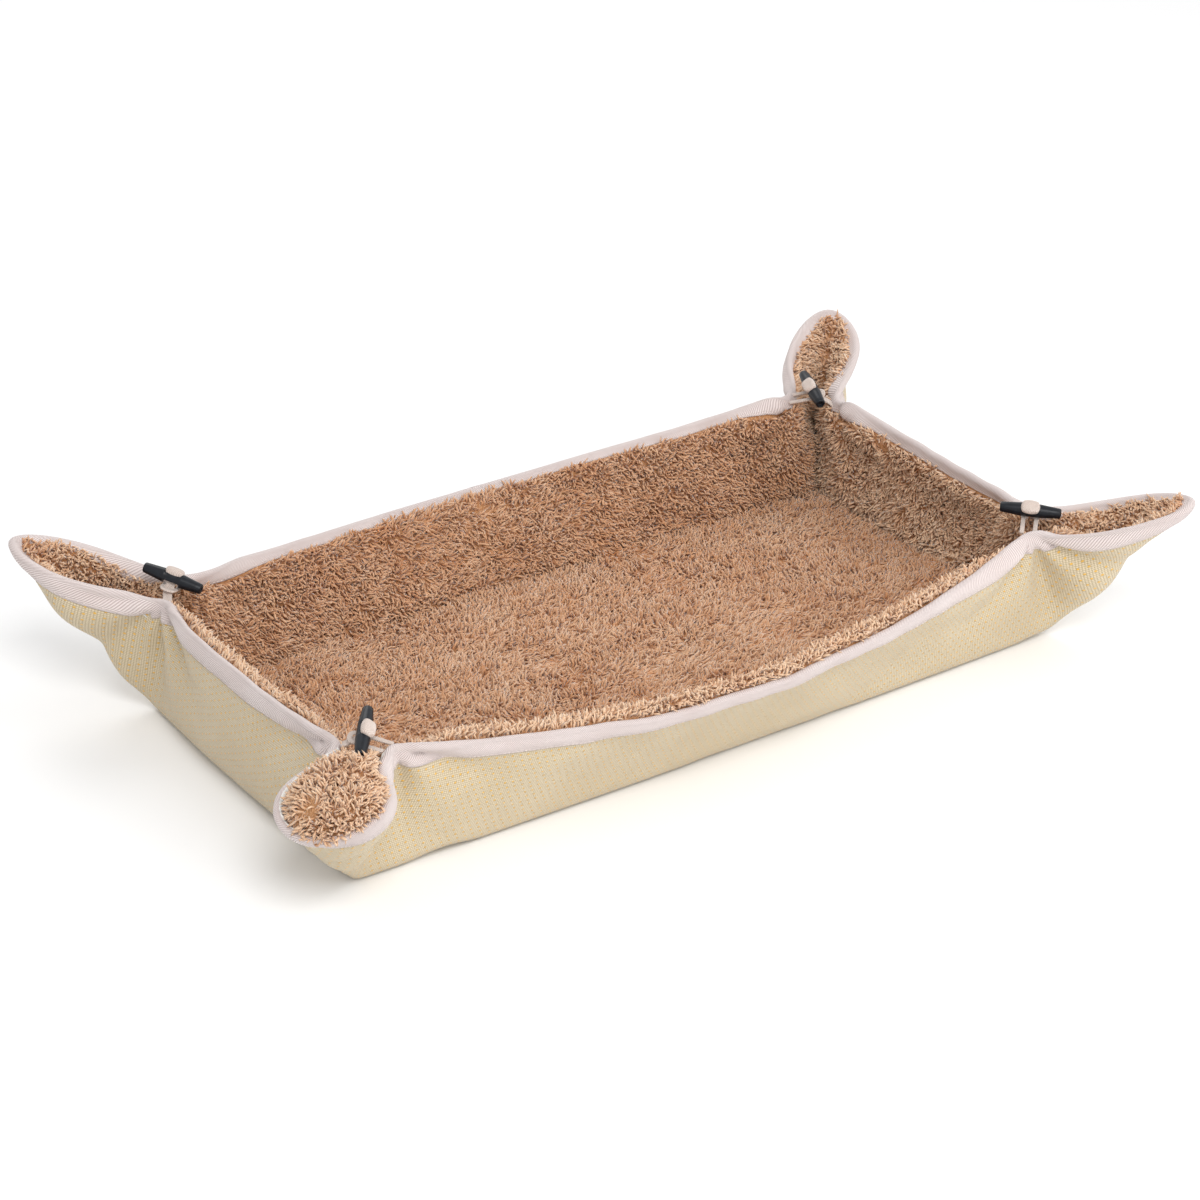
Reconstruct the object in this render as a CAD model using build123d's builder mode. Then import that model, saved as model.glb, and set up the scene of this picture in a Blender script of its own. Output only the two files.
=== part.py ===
from build123d import *
import math
import os

# A padded mat for a window sill, made of an outer cloth, a sheet of wadding and a plush
# lining, bound round its edge with a folded tape. Four toggles and loops pinch its corners,
# so that it stands as a tray: the walls flare along their middles, and each corner of the
# mat sticks out past its toggle as a folded ear. Origin at the middle of the flat underside.

# Tray, outside of the cloth
floor_length = 660.0
floor_width = 300.0
rim_height = 103.0
long_lean_in = 25.0
short_lean_in = 10.0
floor_edge_round = 9.0
lining_fold_round = 0.6
floor_bow = 3.0
wall_middle_height = 52.0
long_wall_middle_bow = 38.0
long_wall_rim_bow = 74.0
short_wall_middle_bow = 15.0
short_wall_rim_bow = 23.0
long_rim_sag = 25.0
short_rim_sag = 2.0

# Layers of the mat: full thickness over the floor and walls, squeezed at the bound edge
cover_thickness = 1.2
wadding_thickness = 7.0
lining_thickness = 6.0
wadding_edge_thickness = 2.8
lining_edge_thickness = 3.5

# Edge binding
binding_thickness = 1.0
binding_width = 15.0

# Ears
pinch_half_width = 21.0
ear_start_inset = 4.0
keel_half_width = 9.0
keel_least_half_width = 1.5
tip_half_width = 6.0
tip_depth = 8.0
ear_top_curve_share = 1.6
ear_station_shares = (0.0, 0.3, 0.56, 0.78, 0.93, 1.0)
side_bulge_share = 0.05
keel_height_share = 0.8
tip_limit_share = 0.5

# Each ear: how far it reaches past its toggle, how its tip rises, its half width, its lean
ear_sizes = {
    "back": dict(reach=124.0, rise=28.0, half_width=29.0, lean=0.0),
    "right": dict(reach=124.0, rise=28.0, half_width=29.0, lean=0.0),
    "left": dict(reach=126.0, rise=30.0, half_width=29.0, lean=0.0),
    "front": dict(reach=92.0, rise=-27.0, half_width=41.0, lean=-12.0),
}
corner_signs = {"back": (1, 1), "right": (1, -1), "left": (-1, 1), "front": (-1, -1)}

# Plush that swells out of the front ear, which hangs open: stations along the ear, as
# shares of its length, with the crown above the edge of the ear at each
crown_height = 19.0
crown_station_shares = (0.04, 0.16, 0.38, 0.62, 0.82, 0.95)
crown_height_shares = (0.05, 0.75, 1.0, 0.9, 0.55, 0.05)

# Toggles
toggle_length = 48.0
toggle_radius = 5.5
toggle_end_radius = 4.0
toggle_end_chamfer = 1.0
toggle_lift = 9.5
notch_length = 13.0
notch_corner_radius = 2.0
web_thickness = 6.0
toggle_hole_radius = 3.0

# Straps that carry the toggles, and the loops that they button into
neck_clearance = 0.35
bead_radius = 5.0
bead_clearance = 0.4
strap_width = 9.0
strap_thickness = 2.4
strap_sewn_depth = 6.0
loop_thickness = 2.0
loop_band_width = 3.6
loop_clearance = 1.0
loop_slot_clearance = 0.7
sewn_overlap = 3.0

# Hole axis and heading of each toggle, as shares along the ear, across it and upwards
toggle_axis_shares = {
    "back": (-0.38, 0.5, 0.78),
    "right": (0.0, -0.6, 0.8),
    "left": (-0.28, -0.45, 0.85),
    "front": (0.1, 0.66, 0.75),
}
toggle_heading_shares = {
    "back": (0.87, 0.42, 0.15),
    "right": (1.0, -0.04, -0.03),
    "left": (0.94, -0.15, 0.3),
    "front": (0.93, 0.12, -0.2),
}

# Overrun of cutting solids, and the headroom that they have above the rim
overrun = 3.0
headroom = 24.0

pinch_half_x = floor_length / 2 - long_lean_in
pinch_half_y = floor_width / 2 - short_lean_in
floor_corner_along = (long_lean_in + short_lean_in) / math.sqrt(2)
ear_start = -pinch_half_width - ear_start_inset
wall_thickness = cover_thickness + wadding_thickness + lining_thickness
edge_thickness = cover_thickness + wadding_edge_thickness + lining_edge_thickness
neck_radius = toggle_hole_radius - neck_clearance
loop_level = toggle_radius + loop_clearance + loop_thickness / 2
strap_level = loop_level + loop_thickness / 2 + loop_clearance + strap_width / 3
sewn_reach = pinch_half_width - edge_thickness - binding_thickness + sewn_overlap


def corner_frame(corner):
    """Pinched corner at rim height, the way its ear points, and the way across the ear."""
    sign_x, sign_y = corner_signs[corner]
    origin = Vector(sign_x * pinch_half_x, sign_y * pinch_half_y, rim_height)
    along = Vector(sign_x, sign_y, 0).normalized()
    across = Vector(0, 0, 1).cross(along)
    return origin, along, across


def sag(place, half_span, depth):
    """How far a rim hangs below its pinched ends at a place along it."""
    return depth * (1 - (place / half_span) ** 2)


def body_outline(height, half_x, half_y, bow_x, bow_y):
    """Outline of the tray at one height: four bowed sides between four corners."""
    corners = [(half_x, -half_y), (half_x, half_y), (-half_x, half_y), (-half_x, -half_y)]
    middles = [(half_x + bow_x, 0), (0, half_y + bow_y), (-half_x - bow_x, 0), (0, -half_y - bow_y)]
    with BuildSketch(Plane.XY.offset(height)) as outline:
        with BuildLine():
            for index, middle in enumerate(middles):
                ThreePointArc(corners[index], middle, corners[(index + 1) % 4])
        make_face()
    return outline.sketch


def tray_body(depth, edge_depth, edge_round):
    """Filled tray without ears, drawn in by a depth, or by an edge depth at the rim."""
    foot_x = floor_length / 2 - depth
    foot_y = floor_width / 2 - depth
    middle_share = wall_middle_height / rim_height
    middle_x = foot_x - long_lean_in * middle_share ** 2
    middle_y = foot_y - short_lean_in * middle_share ** 2
    rim_x = pinch_half_x - edge_depth
    rim_y = pinch_half_y - edge_depth
    round_in = edge_round / 2
    sections = [
        body_outline(depth, foot_x - round_in, foot_y - round_in, floor_bow, floor_bow),
        body_outline(depth + edge_round, foot_x, foot_y, floor_bow, 2 * floor_bow),
        body_outline(wall_middle_height, middle_x, middle_y, short_wall_middle_bow, long_wall_middle_bow),
        body_outline(rim_height, rim_x, rim_y, short_wall_rim_bow, long_wall_rim_bow),
        body_outline(rim_height + headroom, rim_x, rim_y, short_wall_rim_bow, long_wall_rim_bow),
    ]
    with BuildPart() as body:
        add(sections)
        loft(sections=sections, ruled=True)
    return body.part


def above_rim(plane, half_span, depth, lift, width):
    """Everything above one pair of sagging rims, seen along the plane's normal."""
    end = half_span + 2 * edge_thickness + pinch_half_width
    end_height = rim_height + lift - sag(end, half_span, depth)
    roof = rim_height + 2 * headroom + depth
    with BuildPart() as block:
        with BuildSketch(plane):
            with BuildLine():
                ThreePointArc((-end, end_height), (0, rim_height + lift - depth), (end, end_height))
                Polyline((end, end_height), (end, roof), (-end, roof), (-end, end_height))
            make_face()
        extrude(amount=width, both=True)
    return block.part


def ear_section(corner, place, half_width, top, keel, keel_half, rise=0.0, crown=0.0):
    """Section across an ear: two bulging sides over a rounded fold, with a flat or crowned top.

    A rise carries the sides straight up from the top, for a hollow that runs out of the ear.
    """
    origin, along, across = corner_frame(corner)
    size = ear_sizes[corner]
    middle = size["lean"] * (max(place, 0) / size["reach"]) ** 2
    fold_top = keel + keel_half * keel_height_share
    bulge = side_bulge_share * (top - fold_top)
    side_x = (half_width + keel_half) / 2 + bulge
    side_z = (top + fold_top) / 2
    place_origin = Vector(origin.X, origin.Y, 0) + along * place + across * middle
    with BuildSketch(Plane(origin=place_origin, x_dir=across, z_dir=along)) as section:
        with BuildLine():
            if crown > 0:
                ThreePointArc((half_width, top), (0, top + crown), (-half_width, top))
            elif rise > 0:
                Polyline((half_width, top), (half_width, top + rise), (-half_width, top + rise), (-half_width, top))
            else:
                Line((half_width, top), (-half_width, top))
            ThreePointArc((-half_width, top), (-side_x, side_z), (-keel_half, fold_top))
            ThreePointArc((-keel_half, fold_top), (0, keel), (keel_half, fold_top))
            ThreePointArc((keel_half, fold_top), (side_x, side_z), (half_width, top))
        make_face()
    return section.sketch


def ear_half_width(corner, share, edge_depth):
    """Half width of an ear at a share of the way from the floor's corner to its tip."""
    full = ear_sizes[corner]["half_width"] - edge_depth
    start = pinch_half_width - edge_depth
    tip = tip_half_width - edge_depth * tip_limit_share
    if share <= 0.5:
        return start + (full - start) * math.sin(math.pi * share)
    return max(full * math.sqrt(1 - (2 * share - 1) ** 2), tip)


def ear_top(corner, place):
    """Height of the ear's edge at a place along it."""
    size = ear_sizes[corner]
    if place <= 0:
        inward = -place / math.sqrt(2)
        return rim_height - sag(pinch_half_x - inward, pinch_half_x, long_rim_sag)
    return rim_height + size["rise"] * (place / size["reach"]) ** ear_top_curve_share


def ear_keel(corner, share, depth, edge_depth):
    """Height of an ear's fold at a share of the way from the floor's corner to its tip."""
    start_half = pinch_half_width - edge_depth
    start = max(depth * rim_height / (start_half + depth - edge_depth), depth)
    reach = ear_sizes[corner]["reach"] - edge_depth
    end = ear_top(corner, reach) - tip_depth + edge_depth * tip_limit_share
    return start + (end - start) * share


def ear_tip_section(corner, share, depth, edge_depth, lift=0.0, rise=0.0, crown=0.0):
    """Section of an ear outside the floor's corner, drawn in by a depth."""
    reach = ear_sizes[corner]["reach"] - edge_depth
    place = floor_corner_along + (reach - floor_corner_along) * share
    half = ear_half_width(corner, share, edge_depth)
    keel_half = min(max(keel_half_width - depth, keel_least_half_width), half * tip_limit_share)
    keel = ear_keel(corner, share, depth, edge_depth) + min(lift, 0.0)
    top = ear_top(corner, place) + lift
    return ear_section(corner, place, half, top, keel, keel_half, rise, crown)


def ear_solid(corner, depth, edge_depth, lift, rise):
    """Filled ear, drawn in like the body; the lift raises its edge, or lowers all of it."""
    start_half = pinch_half_width - edge_depth
    start_keel = ear_keel(corner, 0.0, depth, edge_depth) + min(lift, 0.0)
    keel_half = max(keel_half_width - depth, keel_least_half_width)
    root_sections = []
    for place in (ear_start, 0, floor_corner_along):
        top = ear_top(corner, place) + lift
        root_sections.append(ear_section(corner, place, start_half, top, start_keel, keel_half, rise))
    tip_sections = [
        ear_tip_section(corner, share, depth, edge_depth, lift, rise) for share in ear_station_shares
    ]
    with BuildPart() as ear:
        loft(sections=root_sections, ruled=True)
        loft(sections=tip_sections, ruled=True)
    return ear.part


def tray_envelope(depth, edge_depth, lift=0.0, opened=False, edge_round=floor_edge_round):
    """Filled tray with its ears, drawn in by a depth; opened, it runs out through the rim."""
    with BuildPart() as envelope:
        add(tray_body(depth, edge_depth, edge_round))
        if not opened:
            add(above_rim(Plane.XZ, pinch_half_x, long_rim_sag, lift, floor_length), mode=Mode.SUBTRACT)
            add(above_rim(Plane.YZ, pinch_half_y, short_rim_sag, lift, floor_length), mode=Mode.SUBTRACT)
        for corner in corner_signs:
            add(ear_solid(corner, depth, edge_depth, lift, headroom if opened else 0.0))
    return envelope.part


def front_crown():
    """Plush that swells out of the open front ear, rooted in the lining on both sides."""
    depth = wall_thickness - lining_thickness / 2
    edge_depth = edge_thickness - lining_edge_thickness / 2
    with BuildPart() as swell:
        loft(
            sections=[
                ear_tip_section("front", share, depth, edge_depth, crown=crown_height * height_share)
                for share, height_share in zip(crown_station_shares, crown_height_shares)
            ],
            ruled=True,
        )
    return swell.part


def toggle_plane(corner):
    """Frame of a toggle: x along the barrel, z up the hole, origin at its middle."""
    origin, along, across = corner_frame(corner)
    up = Vector(0, 0, 1)

    def direction(shares):
        return along * shares[0] + across * shares[1] + up * shares[2]

    heading = direction(toggle_heading_shares[corner])
    axis = direction(toggle_axis_shares[corner])
    return Plane(origin=origin + up * toggle_lift, x_dir=heading, z_dir=axis)


def strap_side(corner):
    """Side of the ear that the strap is sewn to, away from the way that the hole leans."""
    return -math.copysign(1, toggle_axis_shares[corner][1])


def toggle_barrel():
    """Tapered barrel along x, cut away to a web at its middle on both faces, with its hole."""
    half = toggle_length / 2
    with BuildPart() as barrel:
        with BuildSketch(Plane.XZ):
            with BuildLine():
                Polyline(
                    (-half, 0),
                    (-half, toggle_end_radius - toggle_end_chamfer),
                    (-half + toggle_end_chamfer, toggle_end_radius),
                    (-notch_length / 2, toggle_radius),
                    (notch_length / 2, toggle_radius),
                    (half - toggle_end_chamfer, toggle_end_radius),
                    (half, toggle_end_radius - toggle_end_chamfer),
                    (half, 0),
                    close=True,
                )
            make_face()
        revolve(axis=Axis.X)
        for side in (-1, 1):
            with BuildSketch(Plane.XZ) as notch:
                with Locations((0, side * (web_thickness / 2 + toggle_radius))):
                    Rectangle(notch_length, 2 * toggle_radius)
                fillet(notch.vertices(), notch_corner_radius)
            extrude(amount=toggle_radius + overrun, both=True, mode=Mode.SUBTRACT)
        Hole(toggle_hole_radius)
    return barrel.part


def strap_with_bead(corner):
    """Strap in the toggle's frame: a bead above the web, a neck, and a tail to the rim."""
    plane = toggle_plane(corner)
    origin, along, across = corner_frame(corner)
    sewn = origin + across * (strap_side(corner) * sewn_reach) - Vector(0, 0, strap_sewn_depth)
    sewn_local = plane.to_local_coords(sewn)
    neck_end = Vector(0, 0, -strap_level)
    tail = sewn_local - neck_end
    bead_foot = web_thickness / 2 + bead_clearance
    with BuildPart() as strap:
        with BuildSketch(Plane.XZ):
            with BuildLine():
                Line((0, bead_foot), (bead_radius, bead_foot))
                JernArc((bead_radius, bead_foot), (0, 1), bead_radius, 90)
                Line((0, bead_foot + bead_radius), (0, bead_foot))
            make_face()
        revolve(axis=Axis.Z)
        with BuildSketch(Plane.XY.offset(-strap_level - strap_thickness / 2)):
            Circle(neck_radius)
        extrude(amount=strap_level + strap_thickness / 2 + bead_foot + bead_radius / 2)
        with BuildSketch(Plane(origin=neck_end, x_dir=(1, 0, 0), z_dir=tail)):
            Rectangle(strap_width, strap_thickness)
        extrude(amount=tail.length)
    return strap.part


def button_loop(corner):
    """Loop in the toggle's frame: a band round the neck under the barrel, led to the other rim."""
    plane = toggle_plane(corner)
    side = -strap_side(corner)
    across = corner_frame(corner)[2]
    middle_across = -loop_level * plane.z_dir.dot(across)
    length = (sewn_reach - side * middle_across) / plane.y_dir.dot(across)
    slot_half = neck_radius + loop_slot_clearance
    band_half = slot_half + loop_band_width
    slot_end = 2 * toggle_radius + loop_slot_clearance
    with BuildPart() as loop:
        with BuildSketch(Plane.XY.offset(-loop_level - loop_thickness / 2)):
            Circle(band_half)
            with Locations((0, side * length / 2)):
                Rectangle(2 * band_half, length)
            Circle(slot_half, mode=Mode.SUBTRACT)
            with Locations((0, side * slot_end / 2)):
                Rectangle(2 * slot_half, slot_end, mode=Mode.SUBTRACT)
        extrude(amount=loop_thickness)
    return loop.part


os.makedirs("parts", exist_ok=True)

cover_depths = (cover_thickness, cover_thickness)
wadding_depths = (cover_thickness + wadding_thickness, cover_thickness + wadding_edge_thickness)
lining_depths = (wall_thickness, edge_thickness)
binding_depths = (wall_thickness + binding_thickness, edge_thickness + binding_thickness)
binding_outset = (-binding_thickness, -binding_thickness)

outer_envelope = tray_envelope(0.0, 0.0)
cover_hollow = tray_envelope(*cover_depths, opened=True)
wadding_hollow = tray_envelope(*wadding_depths, opened=True)
lining_hollow = tray_envelope(*lining_depths, opened=True, edge_round=lining_fold_round)

# The mat as one block, the same block with the binding's thickness round it, and all that
# lies further below the edge than the binding is wide
with BuildPart() as mat_block:
    add(outer_envelope)
    add(lining_hollow, mode=Mode.SUBTRACT)
with BuildPart() as bound_block:
    add(tray_envelope(*binding_outset, lift=binding_thickness))
    add(tray_envelope(*binding_depths, opened=True), mode=Mode.SUBTRACT)
below_binding = tray_envelope(-overrun, -overrun, lift=-binding_width)

# Outer cloth: the shell that shows outside and lies on the sill
with BuildPart() as outer_cover:
    add(outer_envelope)
    add(cover_hollow, mode=Mode.SUBTRACT)
outer_cover.part.label = "outer_cover"
export_step(outer_cover.part, "parts/outer_cover.step")

# Wadding sealed between the outer cloth and the plush
with BuildPart() as wadding:
    add(outer_envelope)
    add(cover_hollow, mode=Mode.INTERSECT)
    add(wadding_hollow, mode=Mode.SUBTRACT)
wadding.part.label = "wadding"
export_step(wadding.part, "parts/wadding.step")

# Binding: a tape folded over the edge of all three layers, right round the mat
with BuildPart() as edge_binding:
    add(bound_block.part)
    add(below_binding, mode=Mode.SUBTRACT)
    add(mat_block.part, mode=Mode.SUBTRACT)
edge_binding.part.label = "edge_binding"
export_step(edge_binding.part, "parts/edge_binding.step")

# Flat plush of the floor, inside the fold that runs round it
fold_half_x = floor_length / 2 - wall_thickness - lining_fold_round / 2
fold_half_y = floor_width / 2 - wall_thickness - lining_fold_round / 2
fold_outline = body_outline(wall_thickness, fold_half_x, fold_half_y, floor_bow, floor_bow)
with BuildPart() as fleece_floor:
    extrude(fold_outline, amount=-lining_thickness)
fleece_floor.part.label = "fleece_floor"
export_step(fleece_floor.part, "parts/fleece_floor.step")

# Plush of the walls and ears, with its crown in the open front ear, tucked in behind the binding
with BuildPart() as crown:
    add(front_crown())
    add(edge_binding.part, mode=Mode.SUBTRACT)
with BuildPart() as fleece_lining:
    add(outer_envelope)
    add(wadding_hollow, mode=Mode.INTERSECT)
    add(lining_hollow, mode=Mode.SUBTRACT)
    add(fleece_floor.part, mode=Mode.SUBTRACT)
    add(crown.part.solids().sort_by(SortBy.VOLUME)[-1])
fleece_lining.part.label = "fleece_lining"
export_step(fleece_lining.part, "parts/fleece_lining.step")

# A toggle, its strap and its loop at each corner, the sewn ends stopping at the bound edge
barrel = toggle_barrel()
fittings = []
for corner in corner_signs:
    place = toggle_plane(corner).location
    with BuildPart() as toggle:
        add(barrel.moved(place))
    with BuildPart() as strap:
        add(strap_with_bead(corner).moved(place))
        add(bound_block.part, mode=Mode.SUBTRACT)
    with BuildPart() as loop:
        add(button_loop(corner).moved(place))
        add(bound_block.part, mode=Mode.SUBTRACT)
    for kind, piece in (("toggle", toggle), ("strap", strap), ("loop", loop)):
        piece.part.label = f"{kind}_{corner}"
        export_step(piece.part, f"parts/{kind}_{corner}.step")
        fittings.append(piece)

for piece in (outer_cover, wadding, fleece_floor, fleece_lining, edge_binding, *fittings):
    print(piece.part.label, piece.part.is_valid, len(piece.part.solids()), round(piece.part.volume))
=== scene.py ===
# %% [markdown]
# A padded mat for a window sill stands as a shallow tray, because a toggle and a loop pinch each
# of its corners. It is one flat sandwich of cloth, wadding and plush, bound round its edge with a
# tape. This lesson cuts the flat mat, folds it up as the real one is, and then gives each layer
# its own finish. The solid model from the workshop is the fixed frame, and every piece sits in it.

# %% The fixed frame
import math
import bmesh
import bpy
import numpy as np
from mathutils import Matrix, Vector, interpolate, noise
from mathutils.bvhtree import BVHTree


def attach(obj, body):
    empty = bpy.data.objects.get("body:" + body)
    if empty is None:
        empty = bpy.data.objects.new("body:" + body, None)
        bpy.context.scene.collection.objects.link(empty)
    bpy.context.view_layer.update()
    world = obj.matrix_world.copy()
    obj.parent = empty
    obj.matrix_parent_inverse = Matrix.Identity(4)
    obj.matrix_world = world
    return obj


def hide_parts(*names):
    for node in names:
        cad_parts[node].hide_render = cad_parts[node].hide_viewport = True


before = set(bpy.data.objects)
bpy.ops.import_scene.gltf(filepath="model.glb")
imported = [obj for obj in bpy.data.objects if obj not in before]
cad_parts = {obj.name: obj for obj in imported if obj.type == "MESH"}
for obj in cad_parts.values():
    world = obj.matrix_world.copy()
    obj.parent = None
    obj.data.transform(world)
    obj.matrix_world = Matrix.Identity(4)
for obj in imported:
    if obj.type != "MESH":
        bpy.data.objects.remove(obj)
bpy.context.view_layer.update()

scene = bpy.context.scene
scene.view_settings.view_transform = "Standard"

# %% [markdown]
# The camera stands where the photographer stood. Its place and lens were worked out from the
# floor's corners, the rims and the toggles, for a square picture 1200 pixels wide.

# %% The camera
view_turn, view_tilt = math.radians(-34.56), math.radians(28.01)
view_distance, view_left, view_up = 2.6136, 0.0079, 0.05578
focal_pixels, picture_pixels, sensor_width = 3322, 1200, 36
on_ground = math.cos(view_tilt)
away = Vector((math.sin(view_turn) * on_ground, -math.cos(view_turn) * on_ground, math.sin(view_tilt)))
rightward = Vector((math.cos(view_turn), math.sin(view_turn), 0))
upward = away.cross(rightward)
camera = bpy.data.objects.new("camera", bpy.data.cameras.new("camera"))
scene.collection.objects.link(camera)
camera.data.sensor_width = sensor_width
camera.data.lens = focal_pixels * sensor_width / picture_pixels
camera.data.clip_start, camera.data.clip_end = 0.05, 30
camera.location = away * view_distance - rightward * view_left + upward * view_up
camera.rotation_euler = (-away).to_track_quat("-Z", "Y").to_euler()
scene.camera = camera
print("camera at", [round(x, 3) for x in camera.location])

# %% [markdown]
# All the sizes of the mat come first, in metres. The flat mat is a floor with a wall on each side
# and a square at each corner. Folding stands the walls up, and each corner square folds along its
# own diagonal into an ear. The ears aren't alike: three stick out and up, and the front one hangs
# open and droops.

# %% Sizes of the mat
floor_half = (0.330, 0.150)
wall_cut = 0.118
corner_round = 0.038
foot_half = (0.3265, 0.1535)
pinch = (0.305, 0.140)
pinch_half_gap = 0.021
rim_height = 0.103
rim_sag = (0.002, 0.025)
long_rim_bow, foot_bow = 0.045, 0.002
short_rim_bow, short_belly = 0.0082, 0.0095
ear_root = 0.02475
ears = {
    "back": dict(signs=(1, 1), reach=0.124, rise=0.028, half=0.029, lean=0.0),
    "right": dict(signs=(1, -1), reach=0.124, rise=0.028, half=0.029, lean=0.0),
    "left": dict(signs=(-1, 1), reach=0.126, rise=0.030, half=0.029, lean=0.0),
    "front": dict(signs=(-1, -1), reach=0.092, rise=-0.027, half=0.041, lean=-0.012),
}
cut_half = (floor_half[0] + wall_cut, floor_half[1] + wall_cut)
print("flat mat", 2 * cut_half[0], "by", 2 * cut_half[1])

# %% [markdown]
# An ear's edge is a loop that runs out from the pinch, round the tip and back. It is measured once
# for each ear, as a table of places at even steps along the edge, so that the flat edge can be
# laid along it without bunching.

# %% The edge of each ear
def ear_gap(ear, place):
    """Half the width of an ear at its edge, at a place along it."""
    share = (place - ear_root) / (ear["reach"] - ear_root)
    if share <= 0:
        return pinch_half_gap
    if share <= 0.5:
        return pinch_half_gap + (ear["half"] - pinch_half_gap) * math.sin(math.pi * share)
    return ear["half"] * math.sqrt(max(1 - (2 * share - 1) ** 2, 0))


def ear_edge_height(ear, place):
    return rim_height + ear["rise"] * (place / ear["reach"]) ** 1.6


for ear in ears.values():
    steps = [ear["reach"] * math.sin(math.pi / 2 * i / 200) for i in range(201)]
    points = [Vector((s, ear_gap(ear, s), ear_edge_height(ear, s))) for s in steps]
    runs = np.cumsum([0] + [(b - a).length for a, b in zip(points, points[1:])])
    ear["shares"], ear["places"] = runs / runs[-1], steps
    print("ear edge", round(float(runs[-1]), 4), "long")

# %% [markdown]
# Folding is one function. It takes a point of the flat mat and gives its place on the outside of
# the standing tray. The walls are ruled between their feet and their rims, and each half of a
# corner square is a fan of straight rays from the floor's corner to the ear's edge. Cloth that is
# folded to a point bends in just that way.

# %% Places and ways at the corners
def diagonal(x, y):
    """Level way of length one, halfway between two axes."""
    return Vector((x, y, 0)) / math.sqrt(2)


def pinch_point(sx, sy, height=0):
    return Vector((sx * pinch[0], sy * pinch[1], height))


def lean_at(ear, place):
    """How far an ear leans aside, at a place along it."""
    sx, sy = ear["signs"]
    return diagonal(-sy, sx) * ear["lean"] * (place / ear["reach"]) ** 2


def past_floor(a, b):
    """How far a flat point lies past the floor's edge, along the mat and across it."""
    return abs(a) - floor_half[0], abs(b) - floor_half[1]


def fan_at(over_x, over_y):
    """Whether a point of a corner square is on its long side, and its turn from the wall to the fold."""
    return over_y >= over_x, math.atan2(min(over_x, over_y), max(over_x, over_y)) / (math.pi / 4)


print("corners pinched at", [round(x, 3) for x in pinch_point(1, 1)])

# %% The fold
def corner_ray(ear, long_side, turn):
    """Point on an ear's edge for a ray of the corner square, turned from 0 at the wall to 1 at the fold."""
    flat_turn = turn * math.pi / 4
    straight = wall_cut - corner_round
    along_edge = wall_cut * math.tan(flat_turn)
    if along_edge > straight:
        reach = (math.sin(flat_turn) + math.cos(flat_turn)) * straight
        far = reach + math.sqrt(max(corner_round ** 2 - 2 * straight ** 2 + reach ** 2, 0))
        bend = math.atan2(far * math.sin(flat_turn) - straight, far * math.cos(flat_turn) - straight)
        along_edge = straight + corner_round * bend
    else:
        far = wall_cut / math.cos(flat_turn)
    whole_edge = straight + corner_round * math.pi / 4
    place = float(np.interp(along_edge / whole_edge, ear["shares"], ear["places"]))
    sx, sy = ear["signs"]
    side = 1 if long_side else -1
    point = pinch_point(sx, sy) + diagonal(sx, sy) * place + lean_at(ear, place)
    point += diagonal(-sx, sy) * side * ear_gap(ear, place)
    return Vector((point.x, point.y, ear_edge_height(ear, place))), far


def ear_at(a, b):
    return next(e for e in ears.values() if e["signs"] == (1 if a >= 0 else -1, 1 if b >= 0 else -1))


def fold(a, b):
    """Place of a flat point on the outside of the standing tray."""
    sx, sy = (1 if a >= 0 else -1), (1 if b >= 0 else -1)
    over_x, over_y = past_floor(a, b)
    u = max(min(a / floor_half[0], 1), -1)
    v = max(min(b / floor_half[1], 1), -1)
    gap = pinch_half_gap / math.sqrt(2)
    if over_x <= 0 and over_y <= 0:
        x, y = foot_half[0] + foot_bow * (1 - v * v), foot_half[1] + foot_bow * (1 - u * u)
        return Vector((u * x, v * y, 0))
    if over_x <= 0:
        t = over_y / wall_cut
        x = foot_half[0] + t * (pinch[0] - gap - foot_half[0])
        y = foot_half[1] + t * (pinch[1] + gap - foot_half[1])
        bow = foot_bow * (1 - t) + long_rim_bow * t ** 1.1
        return Vector((u * x, sy * (y + bow * (1 - u * u)), t * (rim_height - rim_sag[1] * (1 - u * u))))
    if over_y <= 0:
        t = over_x / wall_cut
        x = foot_half[0] + t * (pinch[0] + gap - foot_half[0])
        y = foot_half[1] + t * (pinch[1] - gap - foot_half[1])
        bow = foot_bow * (1 - t) + short_rim_bow * t + short_belly * 4 * t * (1 - t)
        return Vector((sx * (x + bow * (1 - v * v)), v * y, t * (rim_height - rim_sag[0] * (1 - v * v))))
    edge, far = corner_ray(ear_at(a, b), *fan_at(over_x, over_y))
    root = Vector((sx * foot_half[0], sy * foot_half[1], 0))
    return root + (edge - root) * (math.hypot(over_x, over_y) / far)


print("tip of the back ear", [round(x, 3) for x in fold(cut_half[0] - 0.0111, cut_half[1] - 0.0111)])

# %% [markdown]
# Now the mat is cut: a plain grid, with its corners rounded. The flat places are kept in the
# mesh's UV map, in metres, so that the weave later follows the cloth through every fold.

# %% Cut and fold the mat
cell = 0.005
cells_x, cells_y = round(2 * cut_half[0] / cell), round(2 * cut_half[1] / cell)


def rounded_cut(a, b):
    """Moves a point of the square-cornered grid into the mat's rounded outline."""
    over_x = abs(a) - (cut_half[0] - corner_round)
    over_y = abs(b) - (cut_half[1] - corner_round)
    if over_x <= 0 or over_y <= 0:
        return a, b
    share = max(over_x, over_y) / math.hypot(over_x, over_y)
    return (
        math.copysign(abs(a) - over_x * (1 - share), a),
        math.copysign(abs(b) - over_y * (1 - share), b),
    )


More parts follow.
